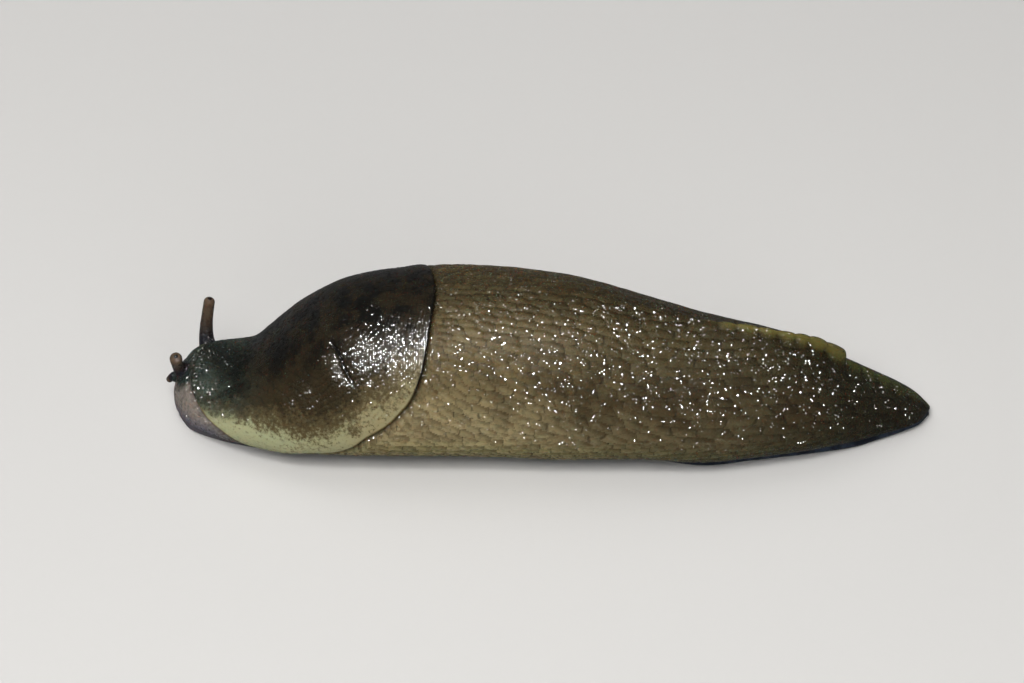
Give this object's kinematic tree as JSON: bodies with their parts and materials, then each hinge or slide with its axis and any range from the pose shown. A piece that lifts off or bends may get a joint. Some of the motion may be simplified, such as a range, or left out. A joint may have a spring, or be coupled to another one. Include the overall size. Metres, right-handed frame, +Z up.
{
  "type": "limax tschapecki slug",
  "caption": "A land slug at rest with its head turned aside: mantle shield, wrinkled back, keeled tail, tentacles and a flat sole, as a still life-size model.",
  "frame": {"origin": "centre of the animal's box, on the floor under its sole", "axes": "+X towards the tail, +Y towards the animal's right side, +Z up"},
  "size_m": [0.1002, 0.028, 0.022],
  "materials": {
    "face_skin": "wet, pale grey-pink skin",
    "neck_skin": "wet, pale olive skin",
    "back_skin": "wet, wrinkled olive-brown skin",
    "tail_skin": "wet, wrinkled dark olive skin",
    "sole_skin": "wet, blue-black fringe and grey sole",
    "mantle_skin": "wet, finely ridged dark brown skin with a pale lower edge",
    "tentacle_skin": "wet, dark brown skin",
    "eye": "glossy black"
  },
  "bodies": {
    "root": {"head": "face_skin", "neck": "neck_skin", "trunk": "back_skin", "tail": "tail_skin", "foot": "sole_skin", "mantle": "mantle_skin", "ocular_tentacle_left": "tentacle_skin", "ocular_tentacle_right": "tentacle_skin", "oral_tentacle_left": "tentacle_skin", "oral_tentacle_right": "tentacle_skin", "eye_left": "eye", "eye_right": "eye"}
  },
  "joints": []
}
